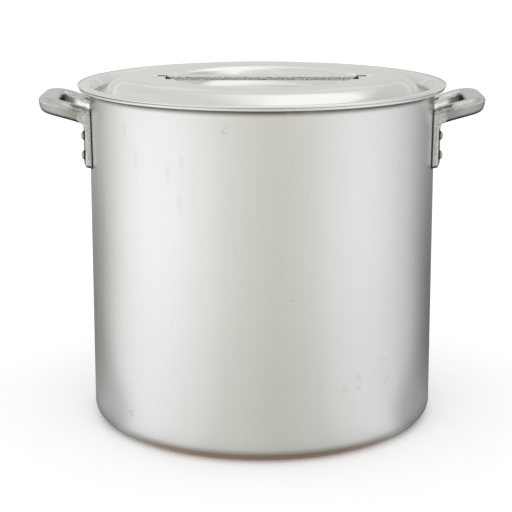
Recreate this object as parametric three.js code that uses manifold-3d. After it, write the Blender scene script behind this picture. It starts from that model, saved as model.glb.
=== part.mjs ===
// Straight-sided aluminium stock pot: a drawn body with a turned-out flange, a pressed lid that
// drops into the mouth, a flat strap let in flush across the lid's finger dish, and two cast loop
// handles with two feet each, every foot held to the wall by two rivets.
// Millimetres, +Z up. The origin is the middle of the flat base, and the handles lie along X.
import * as THREE from "three";
import { mergeVertices } from "three/addons/utils/BufferGeometryUtils.js";
import Module from "manifold-3d";

const wasm = await Module();
wasm.setup();

// Pot body: one drawn sheet
const POT_BORE_RADIUS = 180;
const POT_SHEET = 3;
const POT_HEIGHT = 357;
const POT_BASE_CORNER = 14; // outside radius between base and wall
const POT_FLANGE_REACH = 10.5; // flange beyond the outside of the wall
const POT_FLANGE_BEND = 3; // radius under the flange

// Lid: one pressed sheet, given by its upper face
const LID_SHEET = 1.4;
const LID_SEAT_GAP = 0.3; // lid flange over pot flange
const LID_OVERHANG = 1.5; // lid edge beyond the pot flange
const LID_EDGE_LIFT = 0.8; // the outer edge stands a little off the pot flange
const LID_MOUTH_CLEARANCE = 1; // locating wall to pot bore
const LID_GROOVE_DEPTH = 20; // corner of the groove below the lid flange, before its bend
const LID_CONE_SLOPE = 50; // degrees, from the groove up to the crown
const LID_CROWN_RISE = 4.5; // outer corner of the crown above the lid flange
const LID_CREASE_RADIUS = 130; // faint ring where the crown flattens
const LID_CREASE_RISE = 1.1; // ring above the outer corner of the crown
const LID_DISH_RADIUS = 93; // where the crown starts to turn down into the finger dish
const LID_DISH_RISE = 1.6; // lip of the dish above the outer corner of the crown
const LID_DISH_DEPTH = 20;
const LID_DISH_SLOPE = 55; // degrees, the wall of the dish
const LID_FLANGE_BEND = 8;
const LID_GROOVE_BEND = 3;
const LID_CROWN_BEND = 8.5;
const LID_CREASE_BEND = 60;
const LID_DISH_LIP_BEND = 10;
const LID_DISH_FLOOR_BEND = 9;

// Lid strap and the places in the lid that hold it
const STRAP_LENGTH = 201;
const STRAP_WIDTH = 20;
const STRAP_THICKNESS = 3;
const STRAP_CORNER = 6;
const STRAP_SEAT_GAP = 0.3; // strap over the floor of its pocket, and its tongues under the crown
const POCKET_SIDE_CLEARANCE = 2;
const TONGUE_WIDTH = 12;
const TONGUE_REACH = 17.5; // tongue beyond the strap's end, under the crown
const PAN_LAP = 5; // floor of the pocket inside the lip of the dish
const SLOT_LENGTH = 9; // open stretch of the crown between strap and button
const SLOT_SIDE_CLEARANCE = 1;
const BUTTON_LENGTH = 9; // raised button in the crown over the tongue's tip
const BUTTON_WIDTH = 14;
const BUTTON_HEIGHT = 1.6;

// Cast loop handles
const HANDLE_REACH = 52; // tip beyond the outside of the wall
const HANDLE_DROP = 28; // widest line of the bar, where the loop leaves the wall, below the pot's top
const HANDLE_RISE = 12.3; // from the wall out to the tip
const BAR_WIDTH = 23;
const BAR_CROWN = 5.8; // above the parting line
const BAR_DEPTH = 10.6; // below the parting line
const BAR_DRAFT = 1; // each side draws in by this much towards the bottom
const BAR_EDGE = 2.5;
const LOOP_ROOT_OFFSET = 35; // middle of an arm from the handle's own middle, at the wall
const LOOP_CORNER_OFFSET = 43; // corner of the middle line at the grip
const LOOP_CORNER_BEND = 28;
const FOOT_LENGTH = 56.5; // below the widest line of the bar
const FOOT_THICKNESS = 6.5;
const FOOT_TOP_WIDTH = 18;
const FOOT_BOTTOM_WIDTH = 28;
const FOOT_CORNER = 8; // rounding of the lower corners, seen square on
const FOOT_BOTTOM_SLANT = 3; // the bottom rises by this much from the wall to the outer edge
const FOOT_EDGE = 3.5; // rounding of the lower outer edge
const FOOT_FILLET = 6; // under the arm
const HANDLE_SEAT_GAP = 0.3; // casting to wall

// Rivets
const RIVET_EDGE = 13.1; // lower rivet above the bottom of the foot
const RIVET_PITCH = 20.7; // upper rivet above the lower one
const RIVET_SHANK_RADIUS = 2;
const RIVET_HOLE_CLEARANCE = 0.3;
const RIVET_HEAD_RADIUS = 5;
const RIVET_HEAD_HEIGHT = 3;
const RIVET_TAIL_HEIGHT = 2; // formed head inside the pot
const RIVET_SEAT_GAP = 0.3;

// Fineness of the round surfaces
const TURN_SEGMENTS = 60; // around the pot's axis
const RIVET_SEGMENTS = 12;
const CURVE_SEGMENTS = 5; // per curve of an outline
const BEND_STEP = 30; // degrees of a bend per facet
const LOOP_STEPS = 24;
const HALF_TURN = 180; // degrees
const DEGREE = Math.PI / HALF_TURN;

// Sizes that follow from the ones above
const WALL_RADIUS = POT_BORE_RADIUS + POT_SHEET;
const POT_FLANGE_RADIUS = WALL_RADIUS + POT_FLANGE_REACH;
const FACET_SAG = POT_BORE_RADIUS * (1 - Math.cos(Math.PI / TURN_SEGMENTS));
const LID_FLANGE_HEIGHT = POT_HEIGHT + LID_SEAT_GAP + LID_SHEET;
const CROWN_HEIGHT = LID_FLANGE_HEIGHT + LID_CROWN_RISE;
const DISH_LIP_HEIGHT = CROWN_HEIGHT + LID_DISH_RISE;
const STRAP_BOTTOM = DISH_LIP_HEIGHT - STRAP_THICKNESS;
const STRAP_END = STRAP_LENGTH / 2;
const TONGUE_TOP = CROWN_HEIGHT + LID_CREASE_RISE - LID_SHEET - STRAP_SEAT_GAP;
const HANDLE_PARTING_HEIGHT = POT_HEIGHT - HANDLE_DROP;
const FOOT_BOTTOM_HEIGHT = HANDLE_PARTING_HEIGHT - FOOT_LENGTH;
const FOOT_ANGLE = Math.asin(LOOP_ROOT_OFFSET / WALL_RADIUS);
const FOOT_FACE = WALL_RADIUS + FOOT_THICKNESS;
const LOWER_RIVET_HEIGHT = FOOT_BOTTOM_HEIGHT + RIVET_EDGE;
const RIVET_HEIGHTS = { upper: LOWER_RIVET_HEIGHT + RIVET_PITCH, lower: LOWER_RIVET_HEIGHT };

const sheetAluminium = new THREE.MeshStandardMaterial({
  color: 0xc9c9c6,
  roughness: 0.36,
  metalness: 1,
});
const lidAluminium = new THREE.MeshStandardMaterial({
  color: 0xd2d2ce,
  roughness: 0.28,
  metalness: 1,
});
const castAluminium = new THREE.MeshStandardMaterial({
  color: 0xb9b9b5,
  roughness: 0.45,
  metalness: 1,
});
const rivetAluminium = new THREE.MeshStandardMaterial({
  color: 0xc2c2bf,
  roughness: 0.33,
  metalness: 1,
});

// A closed geometry as a solid that can be joined and cut.
function solid(geometry) {
  const bare = new THREE.BufferGeometry();
  bare.setAttribute("position", geometry.getAttribute("position"));
  bare.setIndex(geometry.index);
  const merged = mergeVertices(bare);
  const corners = merged.index.array;
  const triangles = [];
  for (let i = 0; i < corners.length; i += 3) {
    const [a, b, c] = corners.slice(i, i + 3);
    if (a !== b && b !== c && c !== a) triangles.push(a, b, c);
  }
  return new wasm.Manifold(
    new wasm.Mesh({
      numProp: 3,
      vertProperties: merged.getAttribute("position").array,
      triVerts: new Uint32Array(triangles),
    }),
  );
}

// A solid as a named mesh.
function piece(name, body, material) {
  const { vertProperties, triVerts } = body.getMesh();
  const geometry = new THREE.BufferGeometry();
  geometry.setAttribute("position", new THREE.BufferAttribute(vertProperties, 3));
  geometry.setIndex(new THREE.BufferAttribute(triVerts, 1));
  geometry.computeVertexNormals();
  const mesh = new THREE.Mesh(geometry, material);
  mesh.name = name;
  return mesh;
}

// A profile of (radius, height) points turned about the Z axis.
function turned(profile, segments) {
  return new THREE.LatheGeometry(profile, segments).rotateX(Math.PI / 2);
}

// A block between two opposite corners.
function block(low, high) {
  const size = new THREE.Vector3().subVectors(high, low);
  const middle = new THREE.Vector3().addVectors(low, high).multiplyScalar(0.5);
  return solid(new THREE.BoxGeometry(size.x, size.y, size.z).translate(middle.x, middle.y, middle.z));
}

// The closed section of a bent sheet. The corners { r, z, bend } follow one face outward from the
// axis, and the sheet's thickness lies to the right of that line.
function sheetSection(corners, thickness) {
  const face = [];
  const back = [];
  const put = (point, right) => {
    face.push(point);
    back.push(point.clone().addScaledVector(right, thickness));
  };
  const at = corners.map(({ r, z }) => new THREE.Vector2(r, z));
  const ways = at.slice(1).map((point, i) => point.clone().sub(at[i]).normalize());
  const rightOf = (way) => new THREE.Vector2(way.y, -way.x);
  const origin = new THREE.Vector2();
  put(at[0], rightOf(ways[0]));
  for (let i = 1; i < at.length - 1; i++) {
    const { bend } = corners[i];
    const turn = Math.atan2(ways[i - 1].cross(ways[i]), ways[i - 1].dot(ways[i]));
    const side = -Math.sign(turn); // 1 turns right, towards the sheet
    const setback = bend * Math.tan(Math.abs(turn) / 2);
    const right = rightOf(ways[i - 1]);
    const centre = at[i].clone().addScaledVector(ways[i - 1], -setback).addScaledVector(right, side * bend);
    const steps = Math.ceil(Math.abs(turn) / (BEND_STEP * DEGREE));
    for (let k = 0; k <= steps; k++) {
      const outward = right.clone().rotateAround(origin, (turn * k) / steps);
      put(centre.clone().addScaledVector(outward, -side * bend), outward);
    }
  }
  put(at.at(-1), rightOf(ways.at(-1)));
  return [...back, ...face.reverse()];
}

// Rivet axes of one handle: at the middle of each foot, square to the wall.
function rivetPlaces() {
  const places = [];
  for (const sign of [-1, 1]) {
    for (const [level, height] of Object.entries(RIVET_HEIGHTS)) {
      places.push({ sign, level, height, angle: sign * FOOT_ANGLE });
    }
  }
  return places;
}

// Turns a geometry whose own axis is Z into a radial one at a height and angle on the wall.
function layRadial(geometry, height, angle) {
  return geometry.rotateY(Math.PI / 2).translate(0, 0, height).rotateZ(angle);
}

function rivetHoles() {
  const middle = (POT_BORE_RADIUS + FOOT_FACE) / 2;
  const length = FOOT_FACE - POT_BORE_RADIUS + 2 * FOOT_THICKNESS; // past both faces
  const radius = RIVET_SHANK_RADIUS + RIVET_HOLE_CLEARANCE;
  return rivetPlaces().map(({ height, angle }) => {
    const hole = new THREE.CylinderGeometry(radius, radius, length, RIVET_SEGMENTS);
    hole.rotateX(Math.PI / 2).translate(0, 0, middle);
    return solid(layRadial(hole, height, angle));
  });
}

function potBody() {
  const section = sheetSection(
    [
      { r: 0, z: POT_SHEET },
      { r: POT_BORE_RADIUS, z: POT_SHEET, bend: POT_BASE_CORNER - POT_SHEET },
      { r: POT_BORE_RADIUS, z: POT_HEIGHT, bend: POT_FLANGE_BEND + POT_SHEET },
      { r: POT_FLANGE_RADIUS, z: POT_HEIGHT },
    ],
    POT_SHEET,
  );
  let body = solid(turned(section, TURN_SEGMENTS));
  for (const hole of rivetHoles()) {
    body = body.subtract(hole).subtract(hole.rotate([0, 0, HALF_TURN]));
  }
  return body;
}

function lidShell() {
  const wall = POT_BORE_RADIUS - LID_MOUTH_CLEARANCE - LID_SHEET;
  const grooveCorner = LID_FLANGE_HEIGHT - LID_GROOVE_DEPTH;
  const crownCorner = wall - (CROWN_HEIGHT - grooveCorner) / Math.tan(LID_CONE_SLOPE * DEGREE);
  const dishFloor = LID_DISH_RADIUS - LID_DISH_DEPTH / Math.tan(LID_DISH_SLOPE * DEGREE);
  const section = sheetSection(
    [
      { r: 0, z: DISH_LIP_HEIGHT - LID_DISH_DEPTH },
      { r: dishFloor, z: DISH_LIP_HEIGHT - LID_DISH_DEPTH, bend: LID_DISH_FLOOR_BEND },
      { r: LID_DISH_RADIUS, z: DISH_LIP_HEIGHT, bend: LID_DISH_LIP_BEND },
      { r: LID_CREASE_RADIUS, z: CROWN_HEIGHT + LID_CREASE_RISE, bend: LID_CREASE_BEND },
      { r: crownCorner, z: CROWN_HEIGHT, bend: LID_CROWN_BEND },
      { r: wall, z: grooveCorner, bend: LID_GROOVE_BEND },
      { r: wall, z: LID_FLANGE_HEIGHT, bend: LID_FLANGE_BEND },
      { r: POT_FLANGE_RADIUS + LID_OVERHANG, z: LID_FLANGE_HEIGHT + LID_EDGE_LIFT },
    ],
    LID_SHEET,
  );
  return solid(turned(section, TURN_SEGMENTS));
}

// A pressed pocket at each end of the strap lets it in flush. Outboard of it a slot shows the
// strap's tongue on its way under the crown, and a raised button clinches the tongue's tip.
function lid() {
  const floor = STRAP_BOTTOM - STRAP_SEAT_GAP;
  const halfPocket = STRAP_WIDTH / 2 + POCKET_SIDE_CLEARANCE;
  const halfSlot = TONGUE_WIDTH / 2 + SLOT_SIDE_CLEARANCE;
  const pocketEnd = STRAP_END + POCKET_SIDE_CLEARANCE;
  const slotEnd = STRAP_END + SLOT_LENGTH;
  const buttonMiddle = slotEnd + BUTTON_LENGTH / 2;
  const over = CROWN_HEIGHT + 2 * STRAP_THICKNESS;
  const pan = block(
    new THREE.Vector3(LID_DISH_RADIUS - PAN_LAP, -halfPocket - LID_SHEET, floor - LID_SHEET),
    new THREE.Vector3(pocketEnd + LID_SHEET, halfPocket + LID_SHEET, DISH_LIP_HEIGHT - LID_SHEET),
  );
  const pocket = block(
    new THREE.Vector3(LID_DISH_RADIUS - STRAP_WIDTH, -halfPocket, floor),
    new THREE.Vector3(pocketEnd, halfPocket, over),
  );
  const slot = block(
    new THREE.Vector3(STRAP_END, -halfSlot, floor),
    new THREE.Vector3(slotEnd, halfSlot, over),
  );
  const dome = new THREE.SphereGeometry(1, RIVET_SEGMENTS, RIVET_SEGMENTS / 2).rotateX(Math.PI / 2);
  dome.scale(BUTTON_LENGTH / 2, BUTTON_WIDTH / 2, BUTTON_HEIGHT);
  const button = solid(dome.translate(buttonMiddle, 0, CROWN_HEIGHT + LID_CREASE_RISE));
  const hollow = button.translate([0, 0, -LID_SHEET]);
  let body = lidShell();
  for (const half of [0, HALF_TURN]) {
    const turn = [0, 0, half];
    body = body.add(pan.rotate(turn)).add(button.rotate(turn));
    body = body.subtract(pocket.rotate(turn)).subtract(slot.rotate(turn)).subtract(hollow.rotate(turn));
  }
  return body;
}

function lidStrap() {
  const half = STRAP_WIDTH / 2;
  const straight = STRAP_END - STRAP_CORNER;
  const outline = new THREE.Shape();
  outline.moveTo(-straight, -half);
  outline.absarc(straight, STRAP_CORNER - half, STRAP_CORNER, -Math.PI / 2, 0);
  outline.absarc(straight, half - STRAP_CORNER, STRAP_CORNER, 0, Math.PI / 2);
  outline.absarc(-straight, half - STRAP_CORNER, STRAP_CORNER, Math.PI / 2, Math.PI);
  outline.absarc(-straight, STRAP_CORNER - half, STRAP_CORNER, Math.PI, 1.5 * Math.PI);
  const plate = new THREE.ExtrudeGeometry(outline, {
    depth: STRAP_THICKNESS,
    bevelEnabled: false,
    curveSegments: CURVE_SEGMENTS,
  });
  const tongueEnd = STRAP_END + TONGUE_REACH;
  const tongues = block(
    new THREE.Vector3(-tongueEnd, -TONGUE_WIDTH / 2, STRAP_BOTTOM),
    new THREE.Vector3(tongueEnd, TONGUE_WIDTH / 2, TONGUE_TOP),
  );
  return solid(plate.translate(0, 0, STRAP_BOTTOM)).add(tongues);
}

// How far the loop has risen above its root at a distance from the axis: steep at the wall,
// level at the tip.
function loopRise(distance) {
  const left = 1 - (distance - WALL_RADIUS) / HANDLE_REACH;
  return HANDLE_RISE * (1 - left * left);
}

// The bar of the loop: a flat-bottomed section with a rounded crown, swept round the loop and
// then lifted outward.
function handleLoop() {
  const half = BAR_WIDTH / 2;
  const foot = half - BAR_DRAFT;
  const section = new THREE.Shape();
  section.moveTo(BAR_DEPTH, BAR_EDGE - foot);
  section.lineTo(BAR_DEPTH, foot - BAR_EDGE);
  section.quadraticCurveTo(BAR_DEPTH, foot, BAR_DEPTH - BAR_EDGE, foot);
  section.lineTo(0, half);
  section.absellipse(0, 0, BAR_CROWN, half, Math.PI / 2, 1.5 * Math.PI);
  section.lineTo(BAR_DEPTH - BAR_EDGE, -foot);
  section.quadraticCurveTo(BAR_DEPTH, -foot, BAR_DEPTH, BAR_EDGE - foot);

  const grip = WALL_RADIUS + HANDLE_REACH - half;
  const spread = (LOOP_CORNER_OFFSET - LOOP_ROOT_OFFSET) / (grip - WALL_RADIUS);
  const start = WALL_RADIUS - half;
  const startOffset = LOOP_ROOT_OFFSET - spread * half;
  const arm = new THREE.Vector3(1, spread, 0).normalize().multiplyScalar(LOOP_CORNER_BEND);
  const route = new THREE.CurvePath();
  const root = (sign) => new THREE.Vector3(start, sign * startOffset, 0);
  const corner = (sign) => new THREE.Vector3(grip, sign * LOOP_CORNER_OFFSET, 0);
  const armEnd = (sign) => corner(sign).sub(new THREE.Vector3(arm.x, sign * arm.y, 0));
  const gripEnd = (sign) => corner(sign).setY(sign * (LOOP_CORNER_OFFSET - LOOP_CORNER_BEND));
  route.add(new THREE.LineCurve3(root(-1), armEnd(-1)));
  route.add(new THREE.QuadraticBezierCurve3(armEnd(-1), corner(-1), gripEnd(-1)));
  route.add(new THREE.LineCurve3(gripEnd(-1), gripEnd(1)));
  route.add(new THREE.QuadraticBezierCurve3(gripEnd(1), corner(1), armEnd(1)));
  route.add(new THREE.LineCurve3(armEnd(1), root(1)));

  const loop = new THREE.ExtrudeGeometry(section, {
    steps: LOOP_STEPS,
    extrudePath: route,
    curveSegments: CURVE_SEGMENTS,
  });
  const places = loop.getAttribute("position");
  for (let i = 0; i < places.count; i++) {
    const lift = loopRise(places.getX(i));
    places.setZ(i, places.getZ(i) + HANDLE_PARTING_HEIGHT + lift);
  }
  return solid(loop);
}

// One foot: its side view, with the fillet under the arm, crossed with its front view.
function handleFoot(sign) {
  const inside = WALL_RADIUS - FOOT_THICKNESS;
  const filletEnd = FOOT_FACE + FOOT_FILLET;
  const armBottom = HANDLE_PARTING_HEIGHT - BAR_DEPTH + loopRise(filletEnd);
  const top = HANDLE_PARTING_HEIGHT;
  const side = new THREE.Shape();
  const edge = FOOT_BOTTOM_HEIGHT + FOOT_BOTTOM_SLANT;
  side.moveTo(inside, FOOT_BOTTOM_HEIGHT - FOOT_BOTTOM_SLANT);
  side.lineTo(FOOT_FACE - FOOT_EDGE, edge - FOOT_BOTTOM_SLANT * (FOOT_EDGE / FOOT_THICKNESS));
  side.quadraticCurveTo(FOOT_FACE, edge, FOOT_FACE, edge + FOOT_EDGE);
  side.lineTo(FOOT_FACE, armBottom - FOOT_FILLET);
  side.quadraticCurveTo(FOOT_FACE, armBottom, filletEnd, armBottom);
  side.lineTo(filletEnd, top);
  side.lineTo(inside, top);

  const halfTop = FOOT_TOP_WIDTH / 2;
  const halfBottom = FOOT_BOTTOM_WIDTH / 2;
  const front = new THREE.Shape();
  front.moveTo(-halfTop, top);
  front.lineTo(-halfBottom, FOOT_BOTTOM_HEIGHT + FOOT_CORNER);
  front.quadraticCurveTo(-halfBottom, FOOT_BOTTOM_HEIGHT, FOOT_CORNER - halfBottom, FOOT_BOTTOM_HEIGHT);
  front.lineTo(halfBottom - FOOT_CORNER, FOOT_BOTTOM_HEIGHT);
  front.quadraticCurveTo(halfBottom, FOOT_BOTTOM_HEIGHT, halfBottom, FOOT_BOTTOM_HEIGHT + FOOT_CORNER);
  front.lineTo(halfTop, top);

  const cut = { bevelEnabled: false, curveSegments: CURVE_SEGMENTS };
  const sideView = new THREE.ExtrudeGeometry(side, { ...cut, depth: FOOT_BOTTOM_WIDTH });
  sideView.translate(0, 0, -halfBottom).rotateX(Math.PI / 2);
  const frontView = new THREE.ExtrudeGeometry(front, { ...cut, depth: filletEnd });
  frontView.rotateX(Math.PI / 2).rotateZ(Math.PI / 2);
  return solid(sideView)
    .intersect(solid(frontView))
    .rotate([0, 0, (sign * FOOT_ANGLE) / DEGREE]);
}

function handle() {
  const reach = WALL_RADIUS + HANDLE_SEAT_GAP;
  const pot = new THREE.CylinderGeometry(reach, reach, POT_HEIGHT, TURN_SEGMENTS);
  pot.rotateX(Math.PI / 2).rotateZ(Math.PI / 2).translate(0, 0, POT_HEIGHT / 2);
  let body = handleLoop().add(handleFoot(-1)).add(handleFoot(1)).subtract(solid(pot));
  for (const hole of rivetHoles()) body = body.subtract(hole);
  return body;
}

// A rivet along Z: formed tail, shank and domed head.
function rivetGeometry() {
  const tailFace = POT_BORE_RADIUS - FACET_SAG - RIVET_SEAT_GAP;
  const headFace = FOOT_FACE + RIVET_SEAT_GAP;
  const dome = (face, height) => {
    const points = [];
    for (let turn = 0; turn < 90; turn += BEND_STEP) {
      const radius = RIVET_HEAD_RADIUS * Math.cos(turn * DEGREE);
      points.push(new THREE.Vector2(radius, face + height * Math.sin(turn * DEGREE)));
    }
    return [...points, new THREE.Vector2(0, face + height)];
  };
  const profile = [
    ...dome(tailFace, -RIVET_TAIL_HEIGHT).reverse(),
    new THREE.Vector2(RIVET_SHANK_RADIUS, tailFace),
    new THREE.Vector2(RIVET_SHANK_RADIUS, headFace),
    ...dome(headFace, RIVET_HEAD_HEIGHT),
  ];
  return turned(profile, RIVET_SEGMENTS);
}

// A handle and its rivets, on the right as built, or turned half round to the left.
function handleGroup(side, turn) {
  const group = new THREE.Group();
  group.rotation.z = turn;
  group.add(piece(`${side}_handle`, handle(), castAluminium));
  for (const { sign, level, height, angle } of rivetPlaces()) {
    const end = sign * Math.cos(turn) < 0 ? "front" : "rear";
    const body = solid(layRadial(rivetGeometry(), height, angle));
    group.add(piece(`${side}_handle_rivet_${end}_${level}`, body, rivetAluminium));
  }
  return group;
}

const lidGroup = new THREE.Group();
lidGroup.add(piece("lid", lid(), lidAluminium));
lidGroup.add(piece("lid_strap", lidStrap(), sheetAluminium));

const stockPot = new THREE.Group();
stockPot.name = "stock_pot";
stockPot.add(piece("pot_body", potBody(), sheetAluminium));
stockPot.add(handleGroup("right", 0));
stockPot.add(handleGroup("left", Math.PI));
stockPot.add(lidGroup);

export default stockPot;
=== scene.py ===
from math import atan2, copysign, cos, degrees, hypot, pi, radians, sin, tan

import bmesh
import bpy
from mathutils import Matrix, Vector
from mathutils.geometry import interpolate_bezier
from mathutils.noise import noise as sand


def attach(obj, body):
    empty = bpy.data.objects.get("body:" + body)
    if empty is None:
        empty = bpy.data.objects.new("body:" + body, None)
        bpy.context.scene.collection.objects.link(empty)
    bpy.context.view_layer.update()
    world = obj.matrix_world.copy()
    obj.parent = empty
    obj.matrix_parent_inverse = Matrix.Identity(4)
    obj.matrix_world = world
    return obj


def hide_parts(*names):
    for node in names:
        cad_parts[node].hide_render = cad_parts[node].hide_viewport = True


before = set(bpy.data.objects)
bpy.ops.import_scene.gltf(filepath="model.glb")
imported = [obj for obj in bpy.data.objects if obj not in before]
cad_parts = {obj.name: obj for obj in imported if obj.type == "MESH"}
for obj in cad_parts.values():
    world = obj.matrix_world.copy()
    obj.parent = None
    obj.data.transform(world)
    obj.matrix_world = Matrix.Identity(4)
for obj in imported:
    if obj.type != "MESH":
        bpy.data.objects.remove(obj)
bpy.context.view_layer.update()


# Pot body
# One disc of 3 mm aluminium, drawn into a straight-sided shell with a rounded base corner.
# The mouth is turned out into a flat flange, and the outside is left with a satin drawn grain.
POT_BORE = 180
POT_SHEET = 3
POT_HEIGHT = 357
POT_FLANGE_RADIUS = 193.5
POT_BASE_CORNER = 14
POT_FLANGE_BEND = 6
POT_FLANGE_DROOP = 0.2
FLANGE_WAVE_START = 187
FLANGE_WAVES = ((-65, 60, 0.8), (100, 45, 0.4), (180, 60, 0.3))
SHEET_EDGE = 0.9
WALL_RADIUS = POT_BORE + POT_SHEET
TURN_STEPS = 240
BEND_STEP = 6
ROW_HEIGHT = 9
SHARP_ANGLE = radians(38)
MERGE_DISTANCE = 0.001
NEAR = 0.01
STREAK_SCALE = 420.0
SPECKLE_SCALE = 520.0
CLOUD_SCALE = 11.0
MARK_CORE = 0.2
GRAIN_TO_ROUGHNESS = 1.5


def rounded(bm, geom, affect, offset, segments):
    """Rounds corners (affect is VERTICES) or edges (affect is EDGES)."""
    bmesh.ops.bevel(
        bm,
        geom=geom,
        affect=affect,
        offset=offset,
        segments=segments,
        profile=0.5,
        material=-1,
    )


def bent_line(bm, corners):
    """Joins corners of (radius, height, bend) in the XZ plane and rounds each bend to its radius."""
    points = [bm.verts.new((radius, 0, height)) for radius, height, _ in corners]
    for start, end in zip(points, points[1:]):
        bm.edges.new((start, end))
    for point, (_, _, bend) in zip(points, corners):
        if bend:
            back, on = [edge.other_vert(point).co - point.co for edge in point.link_edges]
            turn = pi - back.angle(on)
            steps = max(3, round(degrees(turn) / BEND_STEP))
            rounded(bm, [point], "VERTICES", bend * tan(turn / 2), steps)
    for edge in bm.edges[:]:
        rows = int(edge.calc_length() / ROW_HEIGHT)
        if rows:
            bmesh.ops.subdivide_edges(bm, edges=[edge], cuts=rows)


def turn_about_axis(bm, steps):
    """Spins the line in the XZ plane once round Z and closes the seam and the poles."""
    bmesh.ops.spin(
        bm,
        geom=bm.verts[:] + bm.edges[:],
        cent=(0, 0, 0),
        axis=(0, 0, 1),
        angle=2 * pi,
        steps=steps,
        use_merge=True,
    )
    bmesh.ops.remove_doubles(bm, verts=bm.verts[:], dist=MERGE_DISTANCE)
    bmesh.ops.recalc_face_normals(bm, faces=bm.faces[:])


def make_object(name, bm, *materials):
    """Turns a mesh drawn in millimetres into a smooth object in metres."""
    bmesh.ops.scale(bm, vec=(0.001, 0.001, 0.001), verts=bm.verts[:])
    mesh = bpy.data.meshes.new(name)
    bm.to_mesh(mesh)
    bm.free()
    mesh.shade_smooth()
    mesh.set_sharp_from_angle(angle=SHARP_ANGLE)
    for material in materials:
        mesh.materials.append(material)
    made = bpy.data.objects.new(name, mesh)
    bpy.context.scene.collection.objects.link(made)
    return made


def new_material(name):
    material = bpy.data.materials.new(name)
    material.use_nodes = True
    material.node_tree.nodes.clear()
    return material, material.node_tree


def place(tree, kind, sockets=None, **settings):
    """Adds a node: settings are its properties, sockets its values, or other sockets to link."""
    made = tree.nodes.new(kind)
    for key, value in settings.items():
        setattr(made, key, value)
    for key, value in (sockets or {}).items():
        if isinstance(value, bpy.types.NodeSocket):
            tree.links.new(value, made.inputs[key])
        else:
            made.inputs[key].default_value = value
    return made


def reckon(tree, operation, first, second=0.0):
    """One sum on values that change over the surface."""
    return place(tree, "ShaderNodeMath", {0: first, 1: second}, operation=operation).outputs[0]


def noise(tree, vector, scale, detail=2.0, roughness=0.5):
    sockets = {"Vector": vector, "Scale": scale, "Detail": detail, "Roughness": roughness}
    return place(tree, "ShaderNodeTexNoise", sockets).outputs[0]


def between(tree, value, low, high, start=0.0, end=1.0):
    """Start where the value is low, end where it is high, and a soft change on the way."""
    sockets = {"Value": value, "From Min": low, "From Max": high, "To Min": start, "To Max": end}
    made = place(tree, "ShaderNodeMapRange", sockets, interpolation_type="SMOOTHSTEP")
    return made.outputs["Result"]


def new_group(name, inputs, outputs):
    """An empty shader node group with its named sockets, and its two end nodes."""
    group = bpy.data.node_groups.new(name, "ShaderNodeTree")
    for kind, way in ((inputs, "INPUT"), (outputs, "OUTPUT")):
        for socket, sort in kind.items():
            group.interface.new_socket(name=socket, in_out=way, socket_type=sort)
    return group, place(group, "NodeGroupInput").outputs, place(group, "NodeGroupOutput").inputs


def object_place(tree):
    return place(tree, "ShaderNodeTexCoord").outputs["Object"]


def stretched(tree, vector, scale):
    return place(tree, "ShaderNodeMapping", {"Vector": vector, "Scale": scale}).outputs["Vector"]


def shaded(tree, color, shade):
    """A colour multiplied by a shade."""
    made = place(tree, "ShaderNodeVectorMath", {0: color, "Scale": shade}, operation="SCALE")
    return made.outputs["Vector"]


def mixed(tree, mask, under, over):
    """The under colour where the mask is 0, and the over colour where it is 1."""
    made = place(tree, "ShaderNodeMix", {"Factor": mask}, data_type="RGBA")
    for socket, color in ((made.inputs[6], under), (made.inputs[7], over)):
        if isinstance(color, bpy.types.NodeSocket):
            tree.links.new(color, socket)
        else:
            socket.default_value = (*color, 1)
    return made.outputs[2]


def metal(tree, color, roughness, height, relief):
    """The aluminium shader, with colour, roughness and relief from the surface's own nodes."""
    bump = place(tree, "ShaderNodeBump", {"Height": height, "Distance": relief})
    shader = place(
        tree,
        "ShaderNodeBsdfPrincipled",
        {"Base Color": color, "Metallic": 1.0, "Roughness": roughness, "Normal": bump.outputs["Normal"]},
    )
    place(tree, "ShaderNodeOutputMaterial", {"Surface": shader.outputs["BSDF"]})


# Rolled sheet: streaks along the grain, fine speckle and slow clouds from handling and washing.
sheet_skin, skin_in, skin_out = new_group(
    "sheet_skin",
    {
        "Grain Place": "NodeSocketVector",
        "Place": "NodeSocketVector",
        "Grain": "NodeSocketFloat",
        "Cloud": "NodeSocketFloat",
    },
    {"Shade": "NodeSocketFloat", "Roughness": "NodeSocketFloat", "Height": "NodeSocketFloat"},
)
streaks = noise(sheet_skin, skin_in["Grain Place"], STREAK_SCALE, 4.0, 0.6)
speckle = noise(sheet_skin, skin_in["Place"], SPECKLE_SCALE)
clouds = noise(sheet_skin, skin_in["Place"], CLOUD_SCALE, 5.0, 0.6)
fine = reckon(sheet_skin, "SUBTRACT", reckon(sheet_skin, "ADD", streaks, speckle), 1.0)
slow = reckon(sheet_skin, "SUBTRACT", clouds, 0.5)
grain_part = reckon(sheet_skin, "MULTIPLY", fine, skin_in["Grain"])
cloud_part = reckon(sheet_skin, "MULTIPLY", slow, skin_in["Cloud"])
both_parts = reckon(sheet_skin, "ADD", grain_part, cloud_part)
sheet_skin.links.new(reckon(sheet_skin, "ADD", both_parts, 1.0), skin_out["Shade"])
sheet_skin.links.new(reckon(sheet_skin, "SUBTRACT", grain_part, cloud_part), skin_out["Roughness"])
sheet_skin.links.new(fine, skin_out["Height"])


def rolled_skin(tree, grain_place, where, grain, cloud):
    """The shade, roughness and height of rolled sheet."""
    sockets = {"Grain Place": grain_place, "Place": where, "Grain": grain, "Cloud": cloud}
    return place(tree, "ShaderNodeGroup", sockets, node_tree=sheet_skin).outputs


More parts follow.
